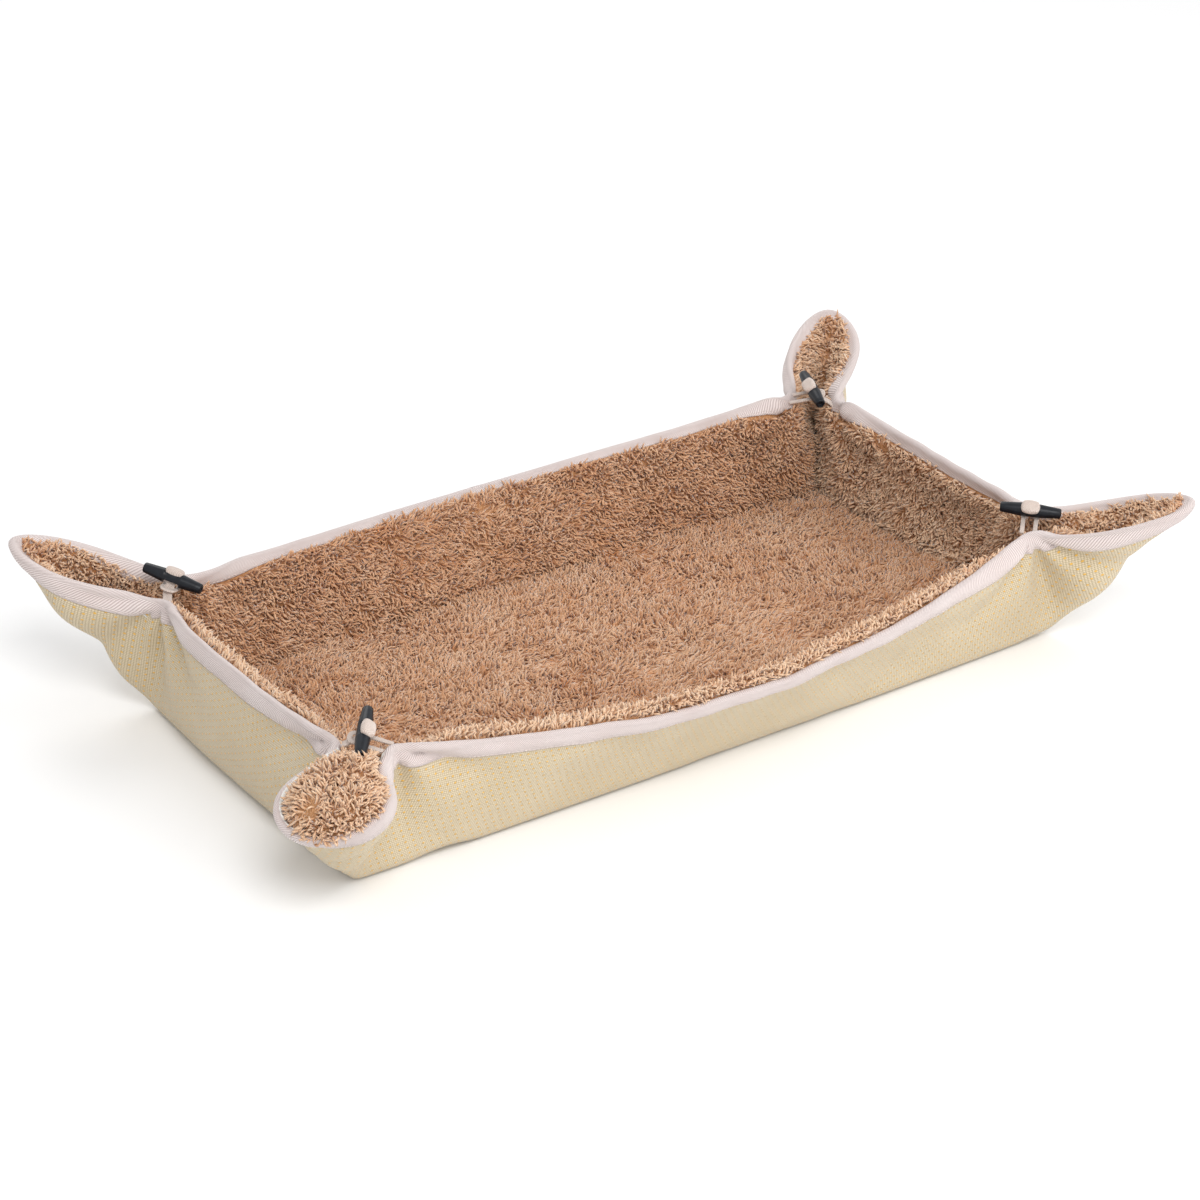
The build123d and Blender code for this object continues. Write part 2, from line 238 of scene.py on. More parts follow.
mat = bmesh.new()
bmesh.ops.create_grid(mat, x_segments=cells_x, y_segments=cells_y, size=0.5)
bmesh.ops.scale(mat, vec=(2 * cut_half[0], 2 * cut_half[1], 1), verts=mat.verts)
flat = []
for vert in mat.verts:
    a, b = rounded_cut(vert.co.x, vert.co.y)
    flat.append((a, b))
    vert.co = (a, b, 0)
flat = np.array(flat)
mat.verts.ensure_lookup_table()
mat.faces.ensure_lookup_table()
flat_tree = BVHTree.FromBMesh(mat)
flat_faces = [[v.index for v in f.verts] for f in mat.faces]
for vert, (a, b) in zip(mat.verts, flat):
    vert.co = fold(a, b)
print("cells", len(mat.faces))

# %% [markdown]
# The folds are still sharp. A few rounds of smoothing give them the radius that a padded mat
# bends to. The bound edge is smoothed only along itself, so that the rim keeps its line.

# %% Soften the folds
def relax(shape, verts):
    bmesh.ops.smooth_vert(
        shape, verts=verts, factor=0.5, use_axis_x=True, use_axis_y=True, use_axis_z=True,
    )


edge_verts = {v.index for v in mat.verts if v.is_boundary}
inner_verts = [v for v in mat.verts if not v.is_boundary]
edge_next = {
    v.index: [e.other_vert(v) for e in v.link_edges if e.is_boundary] for v in mat.verts if v.is_boundary
}
fold_rounds, rim_rounds = 8, 3
for _ in range(fold_rounds):
    relax(mat, inner_verts)
for _ in range(rim_rounds):
    moved = {i: (mat.verts[i].co + (n[0].co + n[1].co) / 2) / 2 for i, n in edge_next.items()}
    for i, place in moved.items():
        mat.verts[i].co = place
print("lowest", round(min(v.co.z for v in mat.verts), 4), "highest", round(max(v.co.z for v in mat.verts), 4))

# %% [markdown]
# Real cloth over wadding is never quite even. Slow waves bend the walls, a few creases run from
# each toggle into the wall below it, and the foot of each wall leaves the sill here and there.

# %% Waves and creases
slow_wave, quick_wave = 0.0042, 0.0014
crease_height, crease_reach = 0.0118, 0.15
foot_lift, foot_lift_reach = 0.008, 0.022


def to_edge(a, b):
    """How far a flat place lies from the mat's rounded edge."""
    over_x, over_y = abs(a) - cut_half[0] + corner_round, abs(b) - cut_half[1] + corner_round
    if over_x > 0 and over_y > 0:
        return max(corner_round - math.hypot(over_x, over_y), 0)
    return corner_round - max(over_x, over_y)


edge_distance = np.array([to_edge(a, b) for a, b in flat])


def softened(x):
    x = max(min(x, 1), 0)
    return x * x * (3 - 2 * x)


def wall_share(a, b):
    """0 on the floor, growing to 1 at the rim."""
    return max(*past_floor(a, b), 0) / wall_cut


def crease(a, b):
    """How far cloth stands out at a flat point, from slow waves and from the pull of the toggles."""
    share = wall_share(a, b)
    if share == 0:
        return 0
    height = slow_wave * noise.noise(Vector((a * 13, b * 13, 3.1)))
    height += quick_wave * noise.noise(Vector((a * 36, b * 36, 7.7)))
    for ear in ears.values():
        sx, sy = ear["signs"]
        for px, py in ((floor_half[0], cut_half[1]), (cut_half[0], floor_half[1])):
            dx, dy = a * sx - px, b * sy - py
            far = math.hypot(dx, dy)
            if far < crease_reach:
                ray = math.atan2(dy, dx) + 0.25 * noise.noise(Vector((a * 9, b * 9, 5.0)))
                pull = softened(1 - far / crease_reach) * softened(far / 0.02)
                height += crease_height * pull * (0.45 - abs(math.sin(ray * 3.4 + sx + 2 * sy)))
    return height * softened(share * 4)


mat.normal_update()
pushes = [v.normal * crease(*flat[v.index]) for v in mat.verts]
for vert, push in zip(mat.verts, pushes):
    vert.co += push
for vert in inner_verts:
    a, b = flat[vert.index]
    lift = softened(1 - abs(max(past_floor(a, b))) / foot_lift_reach)
    wave = max(noise.noise(Vector((a * 14, b * 14, 11))) - 0.1, 0) * foot_lift
    vert.co.z += lift * wave
mat.normal_update()
if mat.faces[len(mat.faces) // 2].normal.z > 0:
    bmesh.ops.reverse_faces(mat, faces=mat.faces)
    mat.normal_update()
print("middle face looks", [round(x, 2) for x in mat.faces[len(mat.faces) // 2].normal])

# %% [markdown]
# Every other layer lies on this one surface, so it is kept as a table: the outside point, the
# outward direction and the way to the rim of each grid point. A small helper reads the surface at
# any flat place.

# %% Reading the folded surface
outside = np.array([v.co[:] for v in mat.verts])
outward = np.array([v.normal[:] for v in mat.verts])
rimward = []
for vert in mat.verts:
    outer = min((e.other_vert(vert) for e in vert.link_edges), key=lambda v: edge_distance[v.index])
    rimward.append((outer.co - vert.co).normalized())
flat_points = [Vector((a, b, 0)) for a, b in flat]


def on_surface(a, b):
    """Outside point and outward direction at a flat place."""
    spot, _, index, _ = flat_tree.find_nearest((a, b, 0))
    corners = flat_faces[index]
    weights = interpolate.poly_3d_calc([flat_points[i] for i in corners], spot)
    point = Vector((0, 0, 0))
    way = Vector((0, 0, 0))
    for i, weight in zip(corners, weights):
        point += Vector(outside[i]) * weight
        way += Vector(outward[i]) * weight
    return point, way.normalized()


print("foot of the near wall", [round(x, 3) for x in on_surface(0, -floor_half[1])[0]])

# %% [markdown]
# A helper turns a finished bmesh into an object with smooth faces. It also lays the flat places
# into the UV map, where a layer follows the mat's own grid.

# %% From bmesh to object
def as_object(name, shape, smooth=True):
    mesh = bpy.data.meshes.new(name)
    shape.to_mesh(mesh)
    shape.free()
    for face in mesh.polygons:
        face.use_smooth = smooth
    piece = bpy.data.objects.new(name, mesh)
    scene.collection.objects.link(piece)
    return piece


def applied(piece):
    """The piece with its modifiers made part of its mesh."""
    view = bpy.context.evaluated_depsgraph_get()
    mesh = bpy.data.meshes.new_from_object(piece.evaluated_get(view))
    piece.modifiers.clear()
    piece.data = mesh
    return piece


def rounded_off(piece):
    """The piece, subdivided once."""
    rounder = piece.modifiers.new("rounder", "SUBSURF")
    rounder.levels = rounder.render_levels = 1
    return applied(piece)


def thicken(piece, thickness, offset):
    filler = piece.modifiers.new("filler", "SOLIDIFY")
    filler.thickness, filler.offset = thickness, offset
    return filler


def lay_uv(shape, name, place_of):
    """Lays a UV map that gives each vertex its own place."""
    uv = shape.loops.layers.uv.new(name)
    for face in shape.faces:
        for loop in face.loops:
            loop[uv].uv = place_of(loop.vert)


def mapped_copy():
    """A copy of the folded grid, with the flat places in its UV map."""
    shape = mat.copy()
    shape.verts.ensure_lookup_table()
    lay_uv(shape, "UVMap", lambda vert: flat[vert.index])
    return shape


def layer(depth):
    """A copy of the folded grid, moved in from the outside by a depth."""
    shape = mapped_copy()
    for vert in shape.verts:
        vert.co = inside_point(vert.index, depth)
    return shape


def from_middle(point, a, b):
    """How far a point lies from its ear's middle plane, on its own side, and the way out from it."""
    ear = ear_at(a, b)
    sx, sy = ear["signs"]
    from_pinch = point - pinch_point(sx, sy)
    place = max(from_pinch.dot(diagonal(sx, sy)), 0)
    lean = lean_at(ear, min(place, ear["reach"]))
    over_x, over_y = past_floor(a, b)
    way = diagonal(-sx, sy) * (1 if over_y >= over_x else -1)
    return (from_pinch - lean).dot(way), way


ear_room, ear_least = 0.006, 0.0006


def inside_point(index, depth):
    """A grid point moved in by a depth, kept on its own side of the ear that it belongs to."""
    point = Vector(outside[index]) - Vector(outward[index]) * depth
    a, b = flat[index]
    if wall_share(a, b) < 0.02 or depth <= 0.0015:
        return point
    across, way = from_middle(point, a, b)
    if across < ear_room:
        kept = ear_least + (ear_room - ear_least) * math.exp((across - ear_room) / ear_room)
        point += way * (kept - across)
    return point


skin_depth, skin_edge_depth = 0.0096, 0.0042


def skin_at(distance):
    return skin_edge_depth + (skin_depth - skin_edge_depth) * softened(distance / 0.016)


print("helpers ready")

# %% [markdown]
# The outside is one sheet of coarse beige cloth. It is the folded grid itself, subdivided once. The
# inner layers are kept clear of it with a search for its nearest point.

# %% Outer cover
outer_cover = rounded_off(as_object("outer_cover_cloth", layer(0.0)))
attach(outer_cover, "mat")
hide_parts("outer_cover")
cloth_mesh = outer_cover.data
cloth_tree = BVHTree.FromPolygons(
    [v.co for v in cloth_mesh.vertices], [p.vertices[:] for p in cloth_mesh.polygons],
)


def keep_inside(vert, clear):
    """Moves a point of an inner layer in, where it lies nearer to the cloth than it should."""
    spot, way, _, _ = cloth_tree.find_nearest(vert.co)
    inside = (spot - vert.co).dot(way)
    if inside < clear:
        vert.co += way * (inside - clear)
    return inside < clear


print("outer cover", len(outer_cover.data.polygons), "faces")

# %% [markdown]
# The plush is a knitted skin with a deep pile. The skin comes first. In the front ear, which hangs
# open, the plush swells out over the edge like a ball, so there the skin is lifted to a dome.

# %% Plush skin
front = ears["front"]
front_along, front_long = diagonal(-1, -1), diagonal(1, -1)
dome_rise, dome_groove, dome_inset = 0.0190, 0.009, 0.0100
throat_share, ball_share = 0.45, 0.55
wall_dent, floor_dent, fold_reach = 0.0064, 0.0024, 0.011
lip_middle, lip_half, lip_up, lip_in = 0.015, 0.011, 0.0120, 0.0055


def dome_point(index, depth):
    """Skin of the front ear: out over the opening near the edge, and down along its middle below that."""
    over_x, over_y = past_floor(*flat[index])
    if over_x <= 0 or over_y <= 0:
        return inside_point(index, depth)
    long_side, turn = fan_at(over_x, over_y)
    edge, far = corner_ray(front, long_side, turn)
    t = math.hypot(over_x, over_y) / far
    place = (edge - pinch_point(-1, -1)).dot(front_along)
    middle = pinch_point(-1, -1) + front_along * place + lean_at(front, place)
    middle.z = edge.z
    out = Vector((-0.25, -0.25, 1)).normalized()
    swell = softened(place / 0.03) * softened((front["reach"] - place) / 0.018 + 0.1)
    half = max(ear_gap(front, place) - dome_inset, 0.001)
    side = front_long * (1 if long_side else -1)
    groove = dome_groove * softened(1.25 - place / front["reach"] * 1.5)
    if t > throat_share:
        sweep = (1 - t) / ball_share * math.pi / 2
        dip = groove * math.exp(-((half * math.cos(sweep) / 0.007) ** 2))
        up = dome_rise * swell * math.sin(sweep) - dip - 0.001
        point = middle + side * half * math.cos(sweep) + out * up
    else:
        root = Vector((-foot_half[0], -foot_half[1], 0.012))
        top = middle + out * (dome_rise * swell - groove - 0.001)
        point = root + (top - root) * (t / throat_share) + side * 0.0012
    plain = inside_point(index, depth)
    share = softened(turn * 6)
    return plain * (1 - share) + point * share


plush = mapped_copy()
for vert in plush.verts:
    a, b = flat[vert.index]
    distance = edge_distance[vert.index]
    over_x, over_y = past_floor(a, b)
    fold_near = softened(1 - abs(max(over_x, over_y)) / fold_reach)
    dent = noise.noise(Vector((a * 11, b * 15, 21))) * (wall_dent if wall_share(a, b) > 0 else floor_dent)
    dent *= softened((distance - 0.012) / 0.03) * (1 - fold_near)
    depth = skin_at(distance) * (1 - 0.55 * fold_near) + dent
    vert.co = dome_point(vert.index, depth) if (a < 0 and b < 0) else inside_point(vert.index, depth)
    in_ear = over_x > 0 and over_y > 0
    lip_share = 0 if in_ear else 1.0 if b < -floor_half[1] else 0.9 if a < -floor_half[0] else 0.1
    from_pinch = -over_x if over_y > 0 else -over_y
    lip_share *= softened((from_pinch - 0.012) / 0.045)
    swell = softened(1 - abs(distance - lip_middle) / lip_half) * lip_share
    vert.co += (rimward[vert.index] * lip_up - Vector(outward[vert.index]) * lip_in) * swell
relax(plush, [v for v in plush.verts if not v.is_boundary])
skin_clear, mended = 0.0028, 0
for vert in plush.verts:
    a, b = flat[vert.index]
    in_front_ear = a < -floor_half[0] and b < -floor_half[1]
    if in_front_ear or edge_distance[vert.index] < 0.012:
        continue
    mended += keep_inside(vert, skin_clear)
print("skin points moved in from the cloth", mended)
bmesh.ops.reverse_faces(plush, faces=plush.faces)
plush_skin = as_object("plush_skin", plush)
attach(plush_skin, "mat")
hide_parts("fleece_lining", "fleece_floor")
print("plush skin", len(plush_skin.data.polygons), "faces")

# %% [markdown]
# The wadding is sealed in between the cloth and the plush, and it is what makes the walls stand. It
# is a soft sheet of its own. It is made after the two, because the gap between them is what it
# fills: thick in the middle of a wall, and pressed thin at the folds, at the edge and in the ears.

# %% Wadding
wadding_depth, wadding_most, wadding_clear = 0.0010, 0.0060, 0.0009
ear_from, ear_clear, ear_share = -0.03, 0.002, 0.4
fullest, thinnest = 0.75, 0.02
wadding = as_object("wadding_sheet", layer(wadding_depth))
room = wadding.vertex_groups.new(name="room")
for vert, skin_vert in zip(wadding.data.vertices, plush_skin.data.vertices):
    a, b = flat[vert.index]
    keep_inside(vert, wadding_depth)
    gap = (Vector(outside[vert.index]) - skin_vert.co).length - wadding_depth - wadding_clear
    if min(past_floor(a, b)) > ear_from:
        gap = min(gap, (from_middle(vert.co, a, b)[0] - ear_clear) * ear_share)
    room.add([vert.index], max(min(gap / wadding_most, fullest), thinnest), "REPLACE")
thicken(wadding, wadding_most, -1).vertex_group = "room"
applied(wadding)
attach(wadding, "mat")
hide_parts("wadding")
print("wadding", len(wadding.data.polygons), "faces")

# %% [markdown]
# The pile is what the eye sees. It is made of soft wavy tufts about 7 mm long. A tuft is a thin
# three-sided spike, extruded ring by ring from a circle and then bent. A few different ones are
# enough, because each is turned, leaned and sized on its own when it is planted.

# %% A few tufts
def tuft(name, length, width, bend, sway):
    shape = bmesh.new()
    bmesh.ops.create_circle(shape, segments=3, radius=width / 2)
    edges = shape.edges[:]
    for rise, grow in ((0.36, 1.25), (0.46, 0.82), (0.18, 0.05)):
        made = bmesh.ops.extrude_edge_only(shape, edges=edges)["geom"]
        verts = [g for g in made if isinstance(g, bmesh.types.BMVert)]
        edges = [g for g in made if isinstance(g, bmesh.types.BMEdge)]
        bmesh.ops.translate(shape, verts=verts, vec=(0, 0, rise * length))
        bmesh.ops.scale(shape, verts=verts, vec=(grow, grow, 1))
    bmesh.ops.pointmerge(shape, verts=verts, merge_co=(0, 0, length))
    bmesh.ops.scale(shape, verts=shape.verts, vec=(1, 0.6, 1))
    lay_uv(shape, "OFBake", lambda vert: (0.5 + vert.co.x / width, vert.co.z / length))
    for vert in shape.verts:
        up = vert.co.z / length
        vert.co.x += bend * up * up * length
        vert.co.y += sway * math.sin(up * math.pi * 1.3) * length
    bmesh.ops.recalc_face_normals(shape, faces=shape.faces)
    return as_object(name, shape)


tuft_box = bpy.data.collections.new("tufts")
tuft_forms = ((6.6, 2.2, 0.40, 0.14), (7.2, 2.0, 0.55, -0.16), (6.0, 2.3, 0.30, 0.20), (6.9, 2.1, 0.65, 0.08))
for number, (length, width, bend, sway) in enumerate(tuft_forms):
    one = tuft(f"tuft_{number}", length / 1000, width / 1000, bend, sway)
    scene.collection.objects.unlink(one)
    tuft_box.objects.link(one)

# %% [markdown]
# Geometry Nodes plant the tufts. Points are spread evenly over the skin with a fixed seed, and the
# pile lies over to one side in slow swirls, as combed plush does. Near the tape it stands up
# towards the rim. Each tuft keeps a tone of its own, with painted shade added where the skin lies in a
# fold and on the walls and the floor, and painted light on the front ear's ball, the right end and
# near the near rims, for the material to read. A ray along each tuft finds how much room it has
# before the cloth of the other side, and a tuft with little room is made shorter. The ray is straight
# and a tuft bends, so a few tips among the many still pass the cloth.

# %% Where the pile grows
areas = ("floor_left", "floor_middle", "floor_right", "far_wall", "near_wall", "left_end", "right_end")
bare_edge, bare_lip_edge, bare_fold = 0.0084, 0.0072, 0.0014
# Painted shading for each area of pile, above zero for painted shade and below zero for painted light, and
# painted light on the plush near the near rims.
ball_painted_light, right_end_painted_light, wall_painted_shade, floor_painted_shade, lip_painted_light = -0.55, -0.1, 0.44, 0.42, 0.6
near_lip, far_lip = 1.3, 0.5


def area_of(a, b):
    over_x, over_y = past_floor(a, b)
    full = min(over_x, over_y) > 0 or b < -floor_half[1] or a < -floor_half[0]
    if to_edge(a, b) < (bare_lip_edge if full else bare_edge):
        return -1
    if over_x > 0:
        return areas.index("right_end" if a > 0 else "left_end")
    if over_y > 0:
        return areas.index("far_wall" if b > 0 else "near_wall")
    return 0 if a < -0.11 else 2 if a > 0.11 else 1


growing = plush_skin.data.attributes.new("area", "INT", "FACE")
deep = plush_skin.data.attributes.new("deep", "FLOAT", "POINT")
lip = plush_skin.data.attributes.new("lip", "FLOAT_VECTOR", "POINT")
for face in plush_skin.data.polygons:
    a, b = np.mean([flat[i] for i in face.vertices], axis=0)
    in_ear = abs(a) > floor_half[0] - 0.004 and abs(b) > floor_half[1] - 0.004
    front_ball = a < 0 and b < 0 and to_edge(a, b) < 0.09
    pinched = in_ear and not front_ball and from_middle(face.center, a, b)[0] < bare_fold
    growing.data[face.index].value = -1 if pinched else area_of(a, b)
# Painted shading for each point of the skin: painted shade on the walls, on the floor, in the fold between
# them and down each ear's middle, and painted light on the front ear's ball, the right end and near the near
# rims.
for vert in plush_skin.data.vertices:
    a, b = flat[vert.index]
    over_x, over_y = past_floor(a, b)
    on_wall = max(over_x, over_y) > 0
    in_ball = a < 0 and b < 0 and min(over_x, over_y) > 0.01
    near = a < -floor_half[0] or b < -floor_half[1]
    plain = wall_painted_shade if on_wall else floor_painted_shade
    if over_x > 0 and a > 0:
        plain = right_end_painted_light
    if in_ball:
        plain = ball_painted_light
    elif near:
        plain -= lip_painted_light * softened((0.030 - edge_distance[vert.index]) / 0.014)
    # Painted shade in the fold where the floor meets a wall.
    depth = max(softened(1 - abs(max(over_x, over_y)) / 0.008), plain)
    # Painted shade along the fold down the middle of each ear, fainter in the front ear.
    if over_x > -0.02 and over_y > -0.02 and not in_ball:
        depth = max(depth, softened(1 - abs(over_x - over_y) / 0.022) * (0.1 if a < 0 and b < 0 else 0.5))
    deep.data[vert.index].value = depth
    share = softened((0.032 - edge_distance[vert.index]) / 0.018)
    share *= 0 if over_x > 0 and over_y > 0 else near_lip if near else far_lip
    lip.data[vert.index].vector = rimward[vert.index] * share
print("areas of pile", areas)

# %% The planting nodes
plant = bpy.data.node_groups.new("plant_pile", "GeometryNodeTree")
plant.interface.new_socket("Skin", in_out="INPUT", socket_type="NodeSocketGeometry")
area_socket = plant.interface.new_socket("Area", in_out="INPUT", socket_type="NodeSocketInt")
plant.interface.new_socket("Pile", in_out="OUTPUT", socket_type="NodeSocketGeometry")


def put(tree, kind, settings=(), **inputs):
    """Adds a node, sets its own settings, and joins or fills its inputs by name, or i and a number."""
    node = tree.nodes.new(kind)
    for key, value in dict(settings).items():
        setattr(node, key, value)
    for key, value in inputs.items():
        numbered = key[0] == "i" and key[1:].isdigit()
        socket = node.inputs[int(key[1:])] if numbered else node.inputs[key.replace("_", " ")]
        if isinstance(value, bpy.types.NodeSocket):
            tree.links.new(value, socket)
        else:
            socket.default_value = value
    return node


def sums(tree, operation, *values, kind="ShaderNodeMath", **more):
    """Result of a maths node, with its values in order."""
    inputs = {f"i{n}": v for n, v in enumerate(values)}
    return put(tree, kind, {"operation": operation}, **inputs, **more).outputs[0]


def vectors(tree, operation, *values, **more):
    return sums(tree, operation, *values, kind="ShaderNodeVectorMath", **more)


def ramp(tree, value, low, high, to_low=0.0, to_high=1.0, shape="LINEAR"):
    """A value moved from one range to another."""
    return put(
        tree, "ShaderNodeMapRange", {"interpolation_type": shape},
        Value=value, From_Min=low, From_Max=high, To_Min=to_low, To_Max=to_high,
    ).outputs[0]


def attribute(kind, name):
    """What the planting nodes read from the skin."""
    return put(plant, "GeometryNodeInputNamedAttribute", {"data_type": kind}, Name=name).outputs["Attribute"]


print("node helpers ready")

# %% Where each tuft stands
skin_in = put(plant, "NodeGroupInput")
tuft_spacing, tuft_density, least_room, probe_length = 0.00165, 1700000.0, 0.0034, 0.0105
same = put(
    plant, "FunctionNodeCompare", {"data_type": "INT", "operation": "EQUAL"},
    i2=attribute("INT", "area"), i3=skin_in.outputs["Area"],
)
spread = put(
    plant, "GeometryNodeDistributePointsOnFaces", {"distribute_method": "POISSON"},
    Mesh=skin_in.outputs["Skin"], Selection=same.outputs[0],
    Distance_Min=tuft_spacing, Density_Max=tuft_density, Seed=4,
)
where = put(plant, "GeometryNodeInputPosition").outputs[0]
leaning, slow_swirl, quick_swirl, laid_way = [], (11.0, 2.5), (80.0, 3.1), (0.25, -0.2, -0.2)
for scale, strength in (slow_swirl, quick_swirl):
    swirl = put(plant, "ShaderNodeTexNoise", Vector=where, Scale=scale, Detail=1.0).outputs["Color"]
    centred = vectors(plant, "SUBTRACT", swirl, (0.5, 0.5, 0.5))
    leaning.append(vectors(plant, "SCALE", centred, Scale=strength))
combed = vectors(plant, "ADD", *leaning)
lipped = vectors(plant, "ADD", combed, attribute("FLOAT_VECTOR", "lip"))
laid_over = vectors(plant, "ADD", lipped, laid_way)
heading = vectors(plant, "ADD", laid_over, spread.outputs["Normal"])
cover_info = put(plant, "GeometryNodeObjectInfo", Object=outer_cover)
probe = put(
    plant, "GeometryNodeRaycast", Target_Geometry=cover_info.outputs["Geometry"],
    Ray_Direction=heading, Ray_Length=probe_length,
)
free = probe.outputs["Hit Distance"]
blocked = put(
    plant, "FunctionNodeCompare", {"data_type": "FLOAT", "operation": "LESS_THAN"}, i0=free, i1=least_room,
)
rooted = put(
    plant, "GeometryNodeDeleteGeometry", {"domain": "POINT"},
    Geometry=spread.outputs["Points"], Selection=blocked.outputs[0],
)
print("planting nodes so far", len(plant.nodes))

# %% How each tuft is turned, sized, toned and given painted shading
turned = put(plant, "FunctionNodeAlignRotationToVector", {"axis": "Z"}, Vector=heading)
chance = put(plant, "FunctionNodeRandomValue", {"data_type": "FLOAT"}, i2=-math.pi, i3=math.pi, Seed=7)
about = put(plant, "ShaderNodeCombineXYZ", Z=chance.outputs[1])
spun = put(plant, "FunctionNodeEulerToRotation", Euler=about.outputs[0])
final_turn = put(
    plant, "FunctionNodeRotateRotation", {"rotation_space": "LOCAL"},
    Rotation=turned.outputs[0], Rotate_By=spun.outputs[0],
)
sizes = put(
    plant, "FunctionNodeRandomValue", {"data_type": "FLOAT_VECTOR"},
    i0=(0.75, 0.75, 0.8), i1=(1.2, 1.2, 1.2), Seed=9,
)
no_room, shortest = 0.0022, 0.12
growth = ramp(plant, free, no_room, probe_length, shortest, 1.0)
forms = put(
    plant, "GeometryNodeCollectionInfo", Collection=tuft_box, Separate_Children=True, Reset_Children=True,
)
planted = put(
    plant, "GeometryNodeInstanceOnPoints", Points=rooted.outputs[0], Instance=forms.outputs[0],
    Pick_Instance=True, Rotation=final_turn.outputs[0],
    Scale=vectors(plant, "SCALE", sizes.outputs[0], Scale=growth),
)
luck = put(plant, "FunctionNodeRandomValue", {"data_type": "FLOAT"}, Seed=12).outputs[1]
patch = put(plant, "ShaderNodeTexNoise", Vector=where, Scale=26.0, Detail=2.0).outputs[0]
own = sums(plant, "MULTIPLY_ADD", luck, 0.20, 0.19)
mixed = sums(plant, "MULTIPLY_ADD", patch, 0.5, own)
# Painted shading read from the skin, darker for painted shade and lighter for painted light, added to each
# tuft's own tone.
shaded = sums(plant, "MULTIPLY_ADD", attribute("FLOAT", "deep"), -0.6, mixed)
kept_tone_and_shade = put(
    plant, "GeometryNodeStoreNamedAttribute", {"data_type": "FLOAT", "domain": "INSTANCE"},
    Geometry=planted.outputs[0], Name="tint", Value=shaded,
)
real = put(plant, "GeometryNodeRealizeInstances", Geometry=kept_tone_and_shade.outputs[0])
put(plant, "NodeGroupOutput", Pile=real.outputs[0])
print("planting nodes", len(plant.nodes))

# %% Plant the pile
pile = {}
for number, area in enumerate(areas):
    piece = bpy.data.objects.new(f"pile_{area}", plush_skin.data.copy())
    scene.collection.objects.link(piece)
    grow = piece.modifiers.new("grow", "NODES")
    grow.node_group = plant
    grow[area_socket.identifier] = number
    applied(piece)
    mesh = piece.data
    tint = np.zeros(len(mesh.vertices), np.float32)
    mesh.attributes["tint"].data.foreach_get("value", tint)
    corner_vertex = np.zeros(len(mesh.loops), np.int32)
    mesh.loops.foreach_get("vertex_index", corner_vertex)
    places = np.zeros(len(mesh.loops) * 2, np.float32)
    mesh.uv_layers["OFBake"].uv.foreach_get("vector", places)
    places = places.reshape(-1, 2)
    # Each tuft's UV now holds its tone with its painted shading, for the finish to read.
    places[:, 0] = 0.02 + 0.9 * np.clip(tint[corner_vertex], 0, 1) + 0.05 * places[:, 0].clip(0, 1)
    mesh.uv_layers["OFBake"].uv.foreach_set("vector", places.ravel())
    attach(piece, "mat")
    pile[area] = piece
    print(piece.name, len(mesh.polygons), "faces")

# %% [markdown]
# The binding is one twill tape, folded over the edge of all the layers. It starts as a long flat
# grid. Each row of it is laid across the edge: up the outside, round the rim and down the plush
# side. Its two ends meet at the middle of the far long rim, one lapped over the other.

# %% The path of the flat edge
straight_x, straight_y = cut_half[0] - corner_round, cut_half[1] - corner_round
arc = corner_round * math.pi / 2
edge_runs = (straight_x, arc, 2 * straight_y, arc, 2 * straight_x, arc, 2 * straight_y, arc, straight_x)
edge_length = sum(edge_runs)


def on_edge(s):
    """Flat place on the mat's edge, and the way in from it, after a run from the middle of the far rim."""
    s = s % edge_length
    x, y, way = 0.0, cut_half[1], 0.0
    for number, run in enumerate(edge_runs):
        part = min(s, run)
        if number % 2 == 0:
            x, y = x + part * math.cos(way), y + part * math.sin(way)
        else:
            centre = (x + corner_round * math.sin(way), y - corner_round * math.cos(way))
            way -= part / corner_round
            x, y = centre[0] - corner_round * math.sin(way), centre[1] + corner_round * math.cos(way)
        s -= part
        if s <= 0:
            break
    return x, y, Vector((math.sin(way), -math.cos(way)))


tape_thickness, tape_least = 0.0009, 0.0015


def inner_place(a, b, depth):
    """Point under the surface at any flat place, kept on its own side of the ear."""
    point, way = on_surface(a, b)
    moved = point - way * depth
    if wall_share(a, b) < 0.02:
        return moved, way
    across, apart = from_middle(moved, a, b)
    if across < tape_least:
        moved += apart * (tape_least - across)
    return moved, way


print("edge of the mat", round(edge_length, 3), "m")

# %% Lay the tape
tape_rows = [("out", d) for d in (0.0152, 0.0146, 0.0136, 0.0118, 0.0090, 0.0060, 0.0030, 0.0008)]
tape_rows += [("rim", math.radians(turn)) for turn in (28, 58, 90, 122, 152)]
tape_rows += [("in", d) for d in (0.0008, 0.0022, 0.0040, 0.0058, 0.0072, 0.0078)]
tape_step, tape_lap, tape_width, tape_puff, rim_start = 0.003, 0.009, 0.032, 0.0013, 0.0008
tape_steps = round(edge_length / tape_step)


